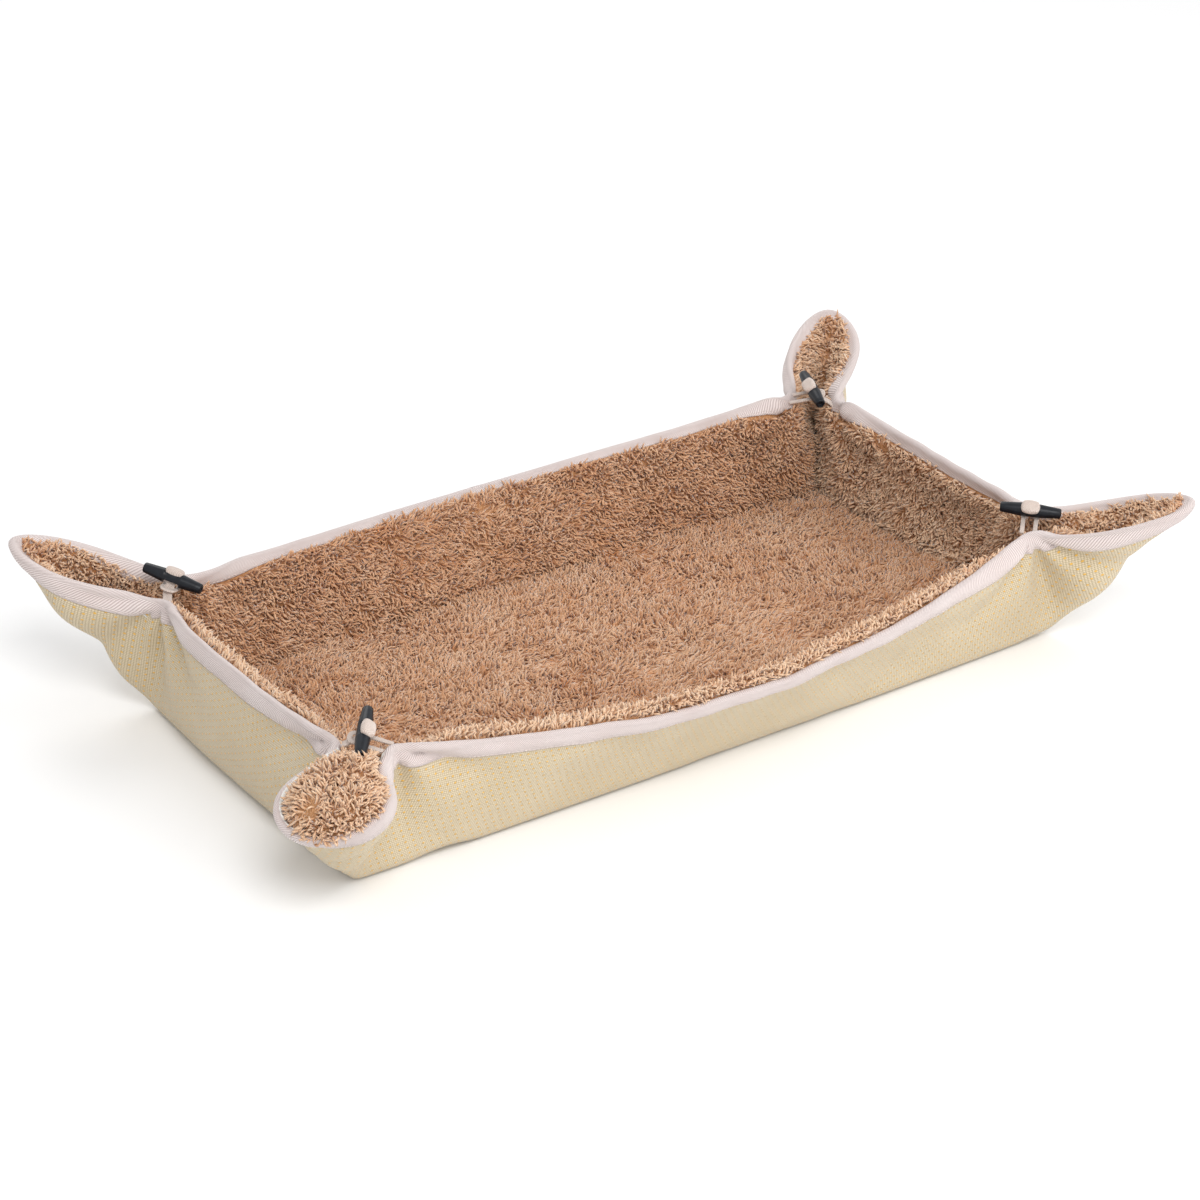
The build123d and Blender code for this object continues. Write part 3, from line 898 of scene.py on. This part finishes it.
def tape_point(s, row):
    a, b, inward = on_edge(s)
    kind, value = row
    lapped = softened((s - (edge_length - 0.002)) / 0.003) * tape_thickness if s > edge_length - 0.004 else 0
    ripple = 0.0005 * noise.noise(Vector((s * 55, value * 90, 2.0)))
    if kind == "out":
        puff = tape_puff * math.sin(math.pi * min(value / 0.0136, 1))
        point, way = on_surface(a + inward.x * value, b + inward.y * value)
        return point + way * (tape_thickness * (0.35 if value > 0.015 else 1) + puff + ripple + lapped)
    if kind == "in":
        depth = skin_at(value) + tape_thickness + lapped
        point, way = inner_place(a + inward.x * value, b + inward.y * value, depth)
        return point - way * (0.0004 * math.sin(math.pi * min(value / 0.0078, 1)) + ripple * 0.5)
    near_a, near_b = a + inward.x * rim_start, b + inward.y * rim_start
    first, way = on_surface(near_a, near_b)
    last, _ = inner_place(near_a, near_b, skin_at(rim_start) + tape_thickness)
    below, _ = on_surface(a + inward.x * 0.007, b + inward.y * 0.007)
    first = first + way * (tape_thickness + lapped)
    middle, half = (first + last) / 2, (first - last) / 2
    up = (first - below).normalized()
    return middle + half * math.cos(value) + up * half.length * math.sin(value) * 0.85


tape = bmesh.new()
columns = tape_steps + round(tape_lap / tape_step)
bmesh.ops.create_grid(tape, x_segments=columns, y_segments=len(tape_rows) - 1, size=0.5)
across_at = np.linspace(0, tape_width, len(tape_rows))
spots = {}
for vert in tape.verts:
    column = round((vert.co.x + 0.5) * columns)
    row = round((vert.co.y + 0.5) * (len(tape_rows) - 1))
    spots[vert.index] = (column, row)
lay_uv(tape, "UVMap", lambda vert: (spots[vert.index][0] * tape_step, across_at[spots[vert.index][1]]))
for vert in tape.verts:
    column, row = spots[vert.index]
    vert.co = tape_point(column * edge_length / tape_steps, tape_rows[row])
bmesh.ops.recalc_face_normals(tape, faces=tape.faces)
edge_binding = as_object("edge_tape", tape)
print("tape faces", len(edge_binding.data.polygons))

# %% Give the tape its thickness
tried, tried_out = on_surface(0.05, cut_half[1] - 0.009)
nearest = min(edge_binding.data.polygons, key=lambda f: (f.center - tried).length)
if nearest.normal.dot(tried_out) < 0:
    edge_binding.data.flip_normals()
thicken(edge_binding, tape_thickness, -1)
applied(edge_binding)
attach(edge_binding, "mat")
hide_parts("edge_binding")
print("tape", len(edge_binding.data.polygons), "faces")

# %% [markdown]
# The tape is held by one row of stitches near each of its borders. A stitch is a small flattened
# bead of thread. One is made, and copies of it are laid along both rows into one bmesh.

# %% Stitches
stitch_pitch, stitch_length, stitch_width = 0.0036, 0.0026, 0.0006
one = bmesh.new()
bmesh.ops.create_uvsphere(one, u_segments=6, v_segments=4, radius=1)
one_stitch = bpy.data.meshes.new("one_stitch")
one.to_mesh(one_stitch)
one.free()
stitches = bmesh.new()
for row in (("out", 0.0132), ("in", 0.0064)):
    for number in range(int(edge_length / stitch_pitch)):
        s = (number + 0.5) * stitch_pitch
        here, ahead = tape_point(s - stitch_length / 2, row), tape_point(s + stitch_length / 2, row)
        a, b, inward = on_edge(s)
        way = on_surface(a + inward.x * row[1], b + inward.y * row[1])[1] * (1 if row[0] == "out" else -1)
        run = (ahead - here).normalized()
        side = way.cross(run).normalized()
        turn = Matrix((run, side, run.cross(side))).transposed().to_4x4()
        place = Matrix.Translation((here + ahead) / 2 + way * 0.0001) @ turn
        size = Matrix.Diagonal((stitch_length / 2, stitch_width / 2, stitch_width / 2.4, 1))
        placed = one_stitch.copy()
        placed.transform(place @ size)
        stitches.from_mesh(placed)
        bpy.data.meshes.remove(placed)
stitching = as_object("stitching", stitches)
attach(stitching, "mat")
print("stitching", len(stitching.data.polygons), "faces")

# %% [markdown]
# Each toggle is a moulded plastic barrel. Half of its outline is spun round its axis, and then
# the middle is pressed flat on both faces to make the notch where the tape sits. A round recess
# closes each end.

# %% The frames of the toggles
toggle_ways = {
    "back": ((0.87, 0.42, 0.15), (-0.38, 0.5, 0.78)),
    "right": ((1.0, -0.04, -0.03), (0.0, -0.6, 0.8)),
    "left": ((0.94, -0.15, 0.3), (-0.28, -0.45, 0.85)),
    "front": ((0.93, 0.12, -0.2), (0.1, 0.66, 0.75)),
}
toggle_height = 0.1125


def toggle_frame(corner):
    """Matrix of a toggle: x along the barrel, z up through its hole."""
    sx, sy = ears[corner]["signs"]
    along, across = diagonal(sx, sy), diagonal(-sy, sx)
    heading, axis = (along * w[0] + across * w[1] + Vector((0, 0, w[2])) for w in toggle_ways[corner])
    axis.normalize()
    heading = (heading - axis * heading.dot(axis)).normalized()
    turn = Matrix((heading, axis.cross(heading), axis)).transposed().to_4x4()
    return Matrix.Translation(pinch_point(sx, sy, toggle_height)) @ turn


print("toggle frames ready")

# %% Toggles
barrel_outline = (
    (22.3, 0.0), (22.4, 1.7), (22.6, 2.0), (23.8, 2.2), (24.0, 2.5), (24.0, 3.0), (23.7, 3.6), (23.0, 4.0),
    (19.0, 4.4), (14.0, 4.85), (9.5, 5.25), (7.6, 5.4), (6.9, 5.45), (6.5, 5.4), (6.2, 5.3), (3.0, 5.3),
)
web_half, notch_half = 3.0, 6.55
toggles = {}
for corner in ears:
    shape = bmesh.new()
    outline = [(x, r) for x, r in barrel_outline] + [(-x, r) for x, r in reversed(barrel_outline)]
    verts = [shape.verts.new((x / 1000, 0, r / 1000)) for x, r in outline]
    edges = [shape.edges.new(pair) for pair in zip(verts, verts[1:])]
    bmesh.ops.spin(
        shape, geom=verts + edges, cent=(0, 0, 0), axis=(1, 0, 0), angle=2 * math.pi, steps=32,
        use_merge=True,
    )
    bmesh.ops.remove_doubles(shape, verts=shape.verts, dist=1e-6)
    for vert in shape.verts:
        if abs(vert.co.x) < notch_half / 1000:
            vert.co.z = max(min(vert.co.z, web_half / 1000), -web_half / 1000)
    bmesh.ops.recalc_face_normals(shape, faces=shape.faces)
    toggle = as_object(f"toggle_{corner}_barrel", shape)
    toggle.data.transform(toggle_frame(corner))
    toggle.data.set_sharp_from_angle(angle=math.radians(38))
    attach(toggle, f"toggle_{corner}")
    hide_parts(f"toggle_{corner}")
    toggles[corner] = toggle
print("toggle faces", len(toggles["back"].data.polygons))

# %% [markdown]
# A short woven tape holds each toggle. It comes out of the bound edge, goes up through the barrel
# and ends in a folded pad that fills the notch. From the other side a narrow loop comes round it.

# %% Ribbons
def ribbon(name, points, sides, width, thickness):
    """A flat tape through some points, with the way across it given at each."""
    shape = bmesh.new()
    count = len(points) - 1
    bmesh.ops.create_grid(shape, x_segments=count, y_segments=2, size=0.5)
    spots = {v.index: (round((v.co.x + 0.5) * count), v.co.y) for v in shape.verts}
    runs = [0.0]
    for first, second in zip(points, points[1:]):
        runs.append(runs[-1] + (second - first).length)
    lay_uv(shape, "UVMap", lambda vert: (runs[spots[vert.index][0]], spots[vert.index][1] * width))
    for vert in shape.verts:
        step, across = spots[vert.index]
        vert.co = points[step] + sides[step].normalized() * across * width
    bmesh.ops.recalc_face_normals(shape, faces=shape.faces)
    piece = as_object(name, shape)
    thicken(piece, thickness, 0)
    soft = piece.modifiers.new("soft", "BEVEL")
    soft.width, soft.segments, soft.limit_method = thickness * 0.35, 2, "ANGLE"
    return rounded_off(piece)


def bend_through(*points, steps=14):
    """Points of a smooth bend through three or four given ones."""
    curve = bpy.data.curves.new("bend", "CURVE")
    spline = curve.splines.new("NURBS")
    spline.points.add(len(points) - 1)
    for spot, point in zip(spline.points, points):
        spot.co = (*point, 1)
    spline.order_u, spline.use_endpoint_u, spline.resolution_u = 3, True, steps
    holder = bpy.data.objects.new("bend", curve)
    curve.dimensions = "3D"
    scene.collection.objects.link(holder)
    mesh = bpy.data.meshes.new_from_object(holder.evaluated_get(bpy.context.evaluated_depsgraph_get()))
    found = [v.co.copy() for v in mesh.vertices]
    bpy.data.objects.remove(holder)
    return found


print("ribbon helper ready")

# %% Straps, pads and loops
sewn_reach, loop_half, loop_level = 0.0165, 0.0050, -0.0078
strap_width, strap_thickness, loop_width, loop_thickness = 0.0075, 0.0017, 0.0036, 0.0018
pad_size, pad_height = (0.0120, 0.0092, 0.0056), 0.0052


def in_hole(place, height, aside=0):
    """A place on a toggle's own axis, or a little beside it."""
    return place @ Vector((0, aside, height))


for corner, ear in ears.items():
    place = toggle_frame(corner)
    turn = place.to_3x3()
    sx, sy = ear["signs"]
    along, across = diagonal(sx, sy), diagonal(-sy, sx)
    side = -math.copysign(1, toggle_ways[corner][1][1])
    rim_point = pinch_point(sx, sy, rim_height)
    sewn = rim_point + across * side * sewn_reach - Vector((0, 0, 0.002))
    path = bend_through(
        in_hole(place, 0.0025), in_hole(place, -0.0065),
        in_hole(place, -0.0105, side * 0.001), (in_hole(place, -0.0115) + sewn) / 2,
        sewn, sewn + across * side * 0.004 - Vector((0, 0, 0.004)),
    )
    shares = [i / (len(path) - 1) for i in range(len(path))]
    ways = [turn @ Vector((1, 0, 0)) * (1 - share) + along * share for share in shares]
    strap = ribbon(f"strap_{corner}_tape", path, ways, strap_width, strap_thickness)
    shape = bmesh.new()
    bmesh.ops.create_cube(shape, size=1)
    bmesh.ops.subdivide_edges(shape, edges=shape.edges, cuts=5, use_grid_fill=True)
    for vert in shape.verts:
        vert.co = vert.co.normalized() * 0.62 * 0.72 + vert.co * 0.38
        if abs(vert.co.y) < 0.06:
            vert.co.z *= 0.9
    bmesh.ops.scale(shape, verts=shape.verts, vec=pad_size)
    bmesh.ops.translate(shape, verts=shape.verts, vec=(0, 0, pad_height))
    bmesh.ops.transform(shape, verts=shape.verts, matrix=place)
    pad = rounded_off(as_object(f"strap_{corner}_pad", shape))
    for piece in (strap, pad):
        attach(piece, "mat")
        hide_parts(f"strap_{corner}")
    rim_other = rim_point - across * side * sewn_reach - Vector((0, 0, 0.001))
    centre = in_hole(place, loop_level)
    way_x = turn @ Vector((1, 0, 0))
    way_y = (rim_other - centre).normalized()
    way_x = (way_x - way_y * way_x.dot(way_y)).normalized()
    run_out = (rim_other - centre).length + 0.003
    corners = [
        centre + way_x * -loop_half + way_y * run_out, centre + way_x * -loop_half + way_y * run_out * 0.5,
        centre + way_x * -loop_half * 1.05 - way_y * 0.001,
        centre - way_x * loop_half * 0.75 - way_y * loop_half * 1.1,
        centre + way_x * loop_half * 0.75 - way_y * loop_half * 1.1,
        centre + way_x * loop_half * 1.05 - way_y * 0.001,
        centre + way_x * loop_half + way_y * run_out * 0.5, centre + way_x * loop_half + way_y * run_out,
    ]
    path = bend_through(*corners, steps=6)
    level = way_x.cross(way_y).normalized()
    ways = []
    for step in range(len(path)):
        run = path[min(step + 1, len(path) - 1)] - path[max(step - 1, 0)]
        ways.append(run.normalized().cross(level))
    loop_piece = ribbon(f"loop_{corner}_tape", path, ways, loop_width, loop_thickness)
    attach(loop_piece, "mat")
    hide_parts(f"loop_{corner}")
print("straps and loops made")

# %% [markdown]
# Now the finishes. Colours are given as the eye reads them on a screen, and a helper turns them
# into the linear values that the shaders want. Weaves that more than one cloth uses are node
# groups with their own inputs.

# %% Helpers for finishes
def seen(red, green, blue):
    """Linear colour of a screen colour."""
    values = [x / 255 for x in (red, green, blue)]
    return tuple(x / 12.92 if x <= 0.04045 else ((x + 0.055) / 1.055) ** 2.4 for x in values) + (1.0,)


def finish(name, roughness, **sockets):
    """A new material with its Principled shader, and plain values on the shader's own sockets."""
    material = bpy.data.materials.new(name)
    material.use_nodes = True
    tree = material.node_tree
    shader = tree.nodes["Principled BSDF"]
    shader.inputs["Roughness"].default_value = roughness
    for key, value in sockets.items():
        shader.inputs[key.replace("_", " ")].default_value = value
    return material, tree, shader


def blend_colour(tree, share, first, second):
    return put(tree, "ShaderNodeMix", {"data_type": "RGBA"}, i0=share, i6=first, i7=second).outputs[2]


def raised(tree, shader, height, distance, strength):
    bump = put(tree, "ShaderNodeBump", Height=height, Distance=distance, Strength=strength)
    tree.links.new(bump.outputs[0], shader.inputs["Normal"])


def ridges(tree, value):
    """A row of round ridges, one to each whole number."""
    return sums(tree, "ABSOLUTE", sums(tree, "SINE", sums(tree, "MULTIPLY", value, math.pi)))


def shader_group(name, number, result):
    """A node group that reads a place and a number and gives one result, and what it is given."""
    tree = bpy.data.node_groups.new(name, "ShaderNodeTree")
    sockets = (("Place", "INPUT", "Vector"), (number, "INPUT", "Float"), (result, "OUTPUT", "Float"))
    for label, way, kind in sockets:
        tree.interface.new_socket(label, in_out=way, socket_type="NodeSocket" + kind)
    return tree, put(tree, "NodeGroupInput").outputs


def uv_place(tree, name="UVMap"):
    return put(tree, "ShaderNodeUVMap", {"uv_map": name}).outputs[0]


def dyed(name, roughness, scale, first, second, mapped=True, **sockets):
    """A finish whose colour drifts slowly between two near ones."""
    material, tree, shader = finish(name, roughness, **sockets)
    place = uv_place(tree) if mapped else put(tree, "ShaderNodeTexCoord").outputs["Object"]
    cloudy = put(tree, "ShaderNodeGroup", {"node_tree": uneven}, Place=place, Scale=scale).outputs[0]
    colour = blend_colour(tree, cloudy, seen(*first), seen(*second))
    tree.links.new(colour, shader.inputs["Base Color"])
    return material, tree, shader, place, cloudy, colour


print("finish helpers ready")

# %% A plain weave, as a node group
weave, given = shader_group("plain_weave", "Threads", "Height")
grown = vectors(weave, "SCALE", given["Place"], Scale=given["Threads"])
across, along, _ = put(weave, "ShaderNodeSeparateXYZ", Vector=grown).outputs
warp, weft = ridges(weave, across), ridges(weave, along)
cells_sum = sums(weave, "ADD", sums(weave, "FLOOR", across), sums(weave, "FLOOR", along))
over = sums(weave, "FLOORED_MODULO", cells_sum, 2.0)
warp_top = sums(weave, "MULTIPLY", warp, sums(weave, "MULTIPLY_ADD", weft, 0.5, 0.5))
weft_top = sums(weave, "MULTIPLY", weft, sums(weave, "MULTIPLY_ADD", warp, 0.5, 0.5))
difference = sums(weave, "SUBTRACT", warp_top, weft_top)
put(weave, "NodeGroupOutput", Height=sums(weave, "MULTIPLY_ADD", difference, over, weft_top))
print("weave nodes", len(weave.nodes))

# %% Slow unevenness of colour, as a node group
uneven, given = shader_group("uneven_dye", "Scale", "Share")
cloud = put(
    uneven, "ShaderNodeTexNoise", Vector=given["Place"], Scale=given["Scale"], Detail=3.0, Roughness=0.6,
)
put(uneven, "NodeGroupOutput", Share=ramp(uneven, cloud.outputs[0], 0.3, 0.7))
print("uneven nodes", len(uneven.nodes))

# %% [markdown]
# The outer cloth is a coarse beige weave with small golden dots of grip moulding in staggered
# rows. Both follow the mat's own flat places, so the rows run with the cloth into each ear.

# %% Outer cloth
cloth, tree, shader, place, _, ground = dyed(
    "beige_grip_cloth", 0.72, 14.0, (208, 192, 162), (220, 206, 178), Sheen_Weight=0.25, Sheen_Roughness=0.5,
)
thread = put(tree, "ShaderNodeGroup", {"node_tree": weave}, Place=place, Threads=560.0).outputs[0]
split = put(tree, "ShaderNodeSeparateXYZ", Vector=place)
row_pitch, dot_pitch, dot_radius = 0.0060, 0.0066, 0.00098
row = sums(tree, "DIVIDE", split.outputs[1], row_pitch)
odd = sums(tree, "FLOORED_MODULO", sums(tree, "FLOOR", row), 2.0)
shift = sums(tree, "MULTIPLY", odd, 0.5)
column = sums(tree, "ADD", sums(tree, "DIVIDE", split.outputs[0], dot_pitch), shift)
squares = []
for count, pitch in ((row, row_pitch), (column, dot_pitch)):
    off = sums(tree, "MULTIPLY", sums(tree, "SUBTRACT", sums(tree, "FRACT", count), 0.5), pitch)
    squares.append(sums(tree, "POWER", off, 2.0))
far = sums(tree, "SQRT", sums(tree, "ADD", *squares))
dot = ramp(tree, far, dot_radius * 0.75, dot_radius * 1.15, 1.0, 0.0)
threads_seen = blend_colour(tree, ramp(tree, thread, 0.1, 0.8), seen(172, 154, 122), ground)
coloured = blend_colour(tree, dot, threads_seen, seen(226, 176, 72))
tree.links.new(coloured, shader.inputs["Base Color"])
tree.links.new(ramp(tree, dot, 0.0, 1.0, 0.75, 0.28), shader.inputs["Roughness"])
bumps = sums(tree, "ADD", sums(tree, "MULTIPLY", thread, 0.5), sums(tree, "MULTIPLY", dot, 0.9))
raised(tree, shader, bumps, 0.0006, 0.9)
outer_cover.data.materials.append(cloth)
print("outer cloth finished")

# %% [markdown]
# The plush is tan. Each tuft is painted darker at its root, as painted shade deep in the pile, and
# paler at its tip. The tufts differ a little from each other in tone, and they carry the painted shade
# and light planted with them. The skin under them is painted darker, as painted shade under the pile.

# %% Plush
fur, tree, shader = finish("tan_plush", 0.85, Sheen_Weight=0.5, Sheen_Roughness=0.4)
split = put(tree, "ShaderNodeSeparateXYZ", Vector=uv_place(tree, "OFBake"))
# Across the UV, each tuft's tone with its painted shading; along it, from a root painted darker as painted
# shade deep in the pile to a paler tip.
root = blend_colour(tree, split.outputs[0], seen(180, 110, 56), seen(240, 202, 162))
tip = blend_colour(tree, split.outputs[0], seen(196, 132, 78), seen(252, 229, 200))
grown = ramp(tree, split.outputs[1], 0.05, 0.75, shape="SMOOTHSTEP")
tree.links.new(blend_colour(tree, grown, root, tip), shader.inputs["Base Color"])
for piece in pile.values():
    piece.data.materials.clear()
    piece.data.materials.append(fur)
# The skin is painted darker, as painted shade under the pile.
skin_finish, tree, shader, _, cloudy, _ = dyed("tan_plush_skin", 0.95, 420.0, (184, 126, 80), (218, 168, 122))
raised(tree, shader, cloudy, 0.002, 0.8)
plush_skin.data.materials.append(skin_finish)
fluff, *_ = dyed("white_wadding", 1.0, 300.0, (226, 224, 218), (244, 243, 240))
wadding.data.materials.append(fluff)
print("plush finished")

# %% [markdown]
# The tape is a fine twill in a pale pinkish grey. Its ribs run slantwise across it. The straps,
# the pads and the loops are a plain weave of the same yarn, a shade warmer.

# %% Twill tape and woven straps
twill, tree, shader, place, _, ground = dyed(
    "pale_twill", 0.8, 30.0, (222, 208, 204), (230, 219, 216), Sheen_Weight=0.3, Sheen_Roughness=0.4,
)
split = put(tree, "ShaderNodeSeparateXYZ", Vector=place)
ribs_along, ribs_across = 470.0, 620.0
run_along = sums(tree, "MULTIPLY", split.outputs[0], ribs_along)
rib = ridges(tree, sums(tree, "ADD", run_along, sums(tree, "MULTIPLY", split.outputs[1], ribs_across)))
tree.links.new(blend_colour(tree, rib, seen(184, 166, 162), ground), shader.inputs["Base Color"])
raised(tree, shader, rib, 0.0005, 0.8)
edge_binding.data.materials.append(twill)
band, tree, shader, place, _, ground = dyed(
    "woven_band", 0.8, 160.0, (230, 214, 204), (240, 228, 220), mapped=False,
    Sheen_Weight=0.3, Sheen_Roughness=0.4,
)
thread = put(tree, "ShaderNodeGroup", {"node_tree": weave}, Place=place, Threads=1150.0).outputs[0]
tree.links.new(blend_colour(tree, thread, seen(196, 174, 160), ground), shader.inputs["Base Color"])
raised(tree, shader, thread, 0.0005, 0.8)
yarn, *_ = dyed("sewing_thread", 0.6, 900.0, (206, 188, 180), (240, 230, 224), mapped=False)
stitching.data.materials.append(yarn)
for corner in ears:
    for name in (f"strap_{corner}_tape", f"strap_{corner}_pad", f"loop_{corner}_tape"):
        bpy.data.objects[name].data.materials.append(band)
print("tapes finished")

# %% [markdown]
# The toggles are blue-black moulded plastic. It is glossy, with a faint grain and softly rubbed
# patches that change how it shines.

# %% Toggle plastic
plastic, tree, shader, place, cloudy, _ = dyed(
    "navy_plastic", 0.34, 190.0, (11, 13, 19), (20, 24, 32), mapped=False, Specular_IOR_Level=0.28,
)
grain = put(tree, "ShaderNodeTexNoise", Vector=place, Scale=2600.0, Detail=2.0).outputs[0]
tree.links.new(ramp(tree, cloudy, 0.0, 1.0, 0.30, 0.44), shader.inputs["Roughness"])
raised(tree, shader, grain, 0.0001, 0.25)
for piece in toggles.values():
    piece.data.materials.append(plastic)
print("toggles finished")

# %% [markdown]
# Last comes the studio: a pale floor that keeps the mat's shadow, a white surround for the camera
# and for reflections, and large soft lamps above.

# %% Floor
ground = bmesh.new()
bmesh.ops.create_circle(ground, cap_ends=True, segments=64, radius=6)
bmesh.ops.translate(ground, verts=ground.verts, vec=(0, 0, -0.0002))
studio_floor = as_object("studio_floor", ground, smooth=False)
paper, tree, shader = finish("studio_paper", 0.9, Specular_IOR_Level=0.1)
shader.inputs["Base Color"].default_value = (0.93, 0.93, 0.93, 1)
studio_floor.data.materials.append(paper)
print("floor made")

# %% Light
world = bpy.data.worlds.new("studio")
scene.world = world
world.use_nodes = True
tree = world.node_tree
surround = tree.nodes["Background"]
surround.inputs["Color"].default_value = (1, 1, 1, 1)
rays = put(tree, "ShaderNodeLightPath")
mirrored = sums(tree, "MAXIMUM", rays.outputs["Is Glossy Ray"], rays.outputs["Is Transmission Ray"])
for_eye = sums(tree, "MAXIMUM", rays.outputs["Is Camera Ray"], mirrored)
tree.links.new(ramp(tree, for_eye, 0.0, 1.0, 0.66, 1.0), surround.inputs["Strength"])


def lamp(name, place, size, power, target=(0, 0, 0.05)):
    light = bpy.data.lights.new(name, "AREA")
    light.shape, light.size, light.energy = "DISK", size, power
    holder = bpy.data.objects.new(name, light)
    holder.location = place
    holder.rotation_euler = (Vector(target) - Vector(place)).to_track_quat("-Z", "Y").to_euler()
    scene.collection.objects.link(holder)


lamp("key_lamp", (-0.8, -1.9, 2.4), 1.5, 42)
lamp("fill_lamp", (1.9, -1.2, 1.8), 1.8, 16)
lamp("back_lamp", (0.6, 2.0, 2.2), 1.6, 18)
lamp("front_lamp", (0.7, -2.6, 0.9), 1.6, 16)
print("lamps made")
